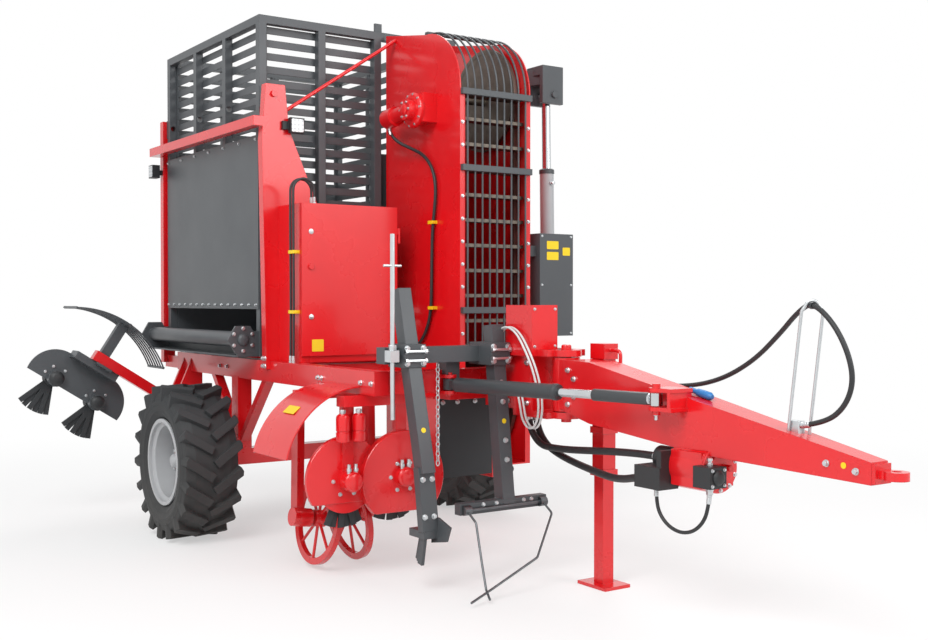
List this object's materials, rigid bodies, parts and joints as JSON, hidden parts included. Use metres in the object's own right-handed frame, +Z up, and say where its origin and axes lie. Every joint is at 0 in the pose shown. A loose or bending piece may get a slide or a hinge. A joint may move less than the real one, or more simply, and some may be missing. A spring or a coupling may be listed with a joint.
{
  "type": "trailed sugar beet harvester with tipping bunker",
  "caption": "Trailed row-crop beet lifter with a slatted side-tipping bunker, a tall elevator tower, a flail topper row unit, a folding side cleaner and a steered drawbar on a jack.",
  "frame": {"origin": "middle of the overall box at ground level", "axes": "+X forward along the drawbar, +Y to the machine's left, +Z up"},
  "size_m": [6.6658, 3.5564, 3.9],
  "materials": {
    "red_paint": "gloss",
    "dark_grey_paint": "satin",
    "light_grey_paint": "satin",
    "tyre_rubber": "matte",
    "black_rubber": "matte",
    "chrome_rod": "gloss",
    "zinc_steel": "satin",
    "spring_steel": "satin",
    "black_cast": "satin",
    "lamp_black": "matte"
  },
  "bodies": {
    "chassis": {"axle": "red_paint", "main_frame": "red_paint", "bunker_posts": "red_paint", "tower_housing": "red_paint", "tower_guard": "dark_grey_paint", "tower_web": "red_paint", "tower_drive": "red_paint", "valve_cabinet": "red_paint", "control_box": "dark_grey_paint", "headstock_cover": "red_paint", "front_lamp": "lamp_black", "rear_lamp": "lamp_black", "topper_frame": "dark_grey_paint", "topper_knife": "dark_grey_paint", "depth_spindle": "zinc_steel", "row_feelers": "spring_steel", "row_hood": "red_paint", "rotor_carrier": "red_paint", "lifter_frame": "red_paint", "intake_plates": "red_paint", "rubber_curtain": "black_rubber"},
    "wheel_right": {"rim_right": "light_grey_paint", "tyre_right": "tyre_rubber"},
    "wheel_left": {"rim_left": "light_grey_paint", "tyre_left": "tyre_rubber"},
    "bunker": {"bunker_frame": "dark_grey_paint", "bunker_front_wall": "dark_grey_paint", "bunker_rear_wall": "dark_grey_paint", "bunker_left_wall": "dark_grey_paint", "bunker_side_slats": "dark_grey_paint", "bunker_side_sheet": "dark_grey_paint", "bunker_floor": "dark_grey_paint", "discharge_roller": "dark_grey_paint", "tip_arm": "dark_grey_paint"},
    "tip_barrel": {"tip_barrel": "light_grey_paint"},
    "tip_rod": {"tip_rod": "chrome_rod"},
    "drawbar": {"drawbar": "red_paint", "jack_tube": "red_paint", "pump_gearbox": "red_paint", "pumps": "black_cast", "charge_pump": "black_cast", "hose_hanger": "zinc_steel"},
    "jack_leg": {"jack_leg": "red_paint"},
    "steer_barrel": {"steer_barrel": "light_grey_paint"},
    "steer_rod": {"steer_rod": "chrome_rod"},
    "cabinet_door": {"cabinet_door": "red_paint"},
    "flail_rotor_outer": {"flail_rotor_outer": "black_rubber"},
    "flail_rotor_inner": {"flail_rotor_inner": "black_rubber"},
    "lifting_wheel_outer": {"lifting_wheel_outer": "red_paint"},
    "lifting_wheel_inner": {"lifting_wheel_inner": "red_paint"},
    "side_arm": {"side_arm": "red_paint", "side_shield": "dark_grey_paint", "side_guard": "dark_grey_paint"},
    "side_rotor_outer": {"side_rotor_outer": "black_rubber"},
    "side_rotor_inner": {"side_rotor_inner": "black_rubber"}
  },
  "joints": [
    {"name": "wheel_right_spin", "type": "hinge", "parent": "chassis", "child": "wheel_right", "pos_m": [-1.753, -0.86675, 0.57], "axis": [0, 1, 0], "continuous": true},
    {"name": "wheel_left_spin", "type": "hinge", "parent": "chassis", "child": "wheel_left", "pos_m": [-1.753, 1.56325, 0.57], "axis": [0, 1, 0], "continuous": true},
    {"name": "bunker_tip", "type": "hinge", "parent": "chassis", "child": "bunker", "pos_m": [-1.753, -0.45175, 3.23], "axis": [1, 0, 0], "range_deg": [0, 40]},
    {"name": "tip_barrel_swing", "type": "hinge", "parent": "chassis", "child": "tip_barrel", "pos_m": [-0.653, 1.67825, 1.2], "axis": [1, 0, 0], "range_deg": [-0.5, 9.48]},
    {"name": "tip_rod_slide", "type": "slide", "parent": "tip_barrel", "child": "tip_rod", "axis": [0, -0.014, 0.9999], "range_m": [-0.005, 1.3778]},
    {"name": "drawbar_swing", "type": "hinge", "parent": "chassis", "child": "drawbar", "pos_m": [0.947, 0.54825, 1.03], "axis": [0, 0, 1], "range_deg": [-20, 20]},
    {"name": "steer_barrel_swing", "type": "hinge", "parent": "chassis", "child": "steer_barrel", "pos_m": [0.397, 0.04825, 1.225], "axis": [0, 0, 1], "range_deg": [-13, 13]},
    {"name": "steer_rod_slide", "type": "slide", "parent": "steer_barrel", "child": "steer_rod", "axis": [0.9818, 0.19, 0], "range_m": [-0.16, 0.16]},
    {"name": "jack_slide", "type": "slide", "parent": "drawbar", "child": "jack_leg", "axis": [0, 0, 1], "range_m": [0, 0.42]},
    {"name": "cabinet_door_hinge", "type": "hinge", "parent": "chassis", "child": "cabinet_door", "pos_m": [-0.76, 0.37225, 1.8], "axis": [0, 0, 1], "range_deg": [0, 100]},
    {"name": "flail_rotor_outer_spin", "type": "hinge", "parent": "chassis", "child": "flail_rotor_outer", "pos_m": [0.147, -0.56175, 0.64], "axis": [1, 0, 0], "continuous": true},
    {"name": "flail_rotor_inner_spin", "type": "hinge", "parent": "chassis", "child": "flail_rotor_inner", "pos_m": [0.147, -0.18175, 0.64], "axis": [1, 0, 0], "continuous": true},
    {"name": "lifting_wheel_outer_spin", "type": "hinge", "parent": "chassis", "child": "lifting_wheel_outer", "pos_m": [-0.313, -0.51175, 0.325], "axis": [0, 0.9877, -0.1564], "continuous": true},
    {"name": "lifting_wheel_inner_spin", "type": "hinge", "parent": "chassis", "child": "lifting_wheel_inner", "pos_m": [-0.313, -0.29175, 0.325], "axis": [0, 0.9877, 0.1564], "continuous": true},
    {"name": "side_arm_fold", "type": "hinge", "parent": "chassis", "child": "side_arm", "pos_m": [-2.753, -0.60175, 0.9], "axis": [1, 0, 0], "range_deg": [-15, 33]},
    {"name": "side_rotor_outer_spin", "type": "hinge", "parent": "side_arm", "child": "side_rotor_outer", "pos_m": [-2.903, -1.51995, 1.13857], "axis": [1, 0, 0], "continuous": true},
    {"name": "side_rotor_inner_spin", "type": "hinge", "parent": "side_arm", "child": "side_rotor_inner", "pos_m": [-2.903, -1.20125, 0.93161], "axis": [1, 0, 0], "continuous": true}
  ],
  "couplings": [
    {"joint": "tip_barrel_swing", "follows": "bunker_tip", "ratio": 0.22452},
    {"joint": "tip_rod_slide", "follows": "bunker_tip", "m_per_rad": 1.9663},
    {"joint": "steer_barrel_swing", "follows": "drawbar_swing", "ratio": 0.5995},
    {"joint": "steer_rod_slide", "follows": "drawbar_swing", "m_per_rad": 0.38419}
  ]
}
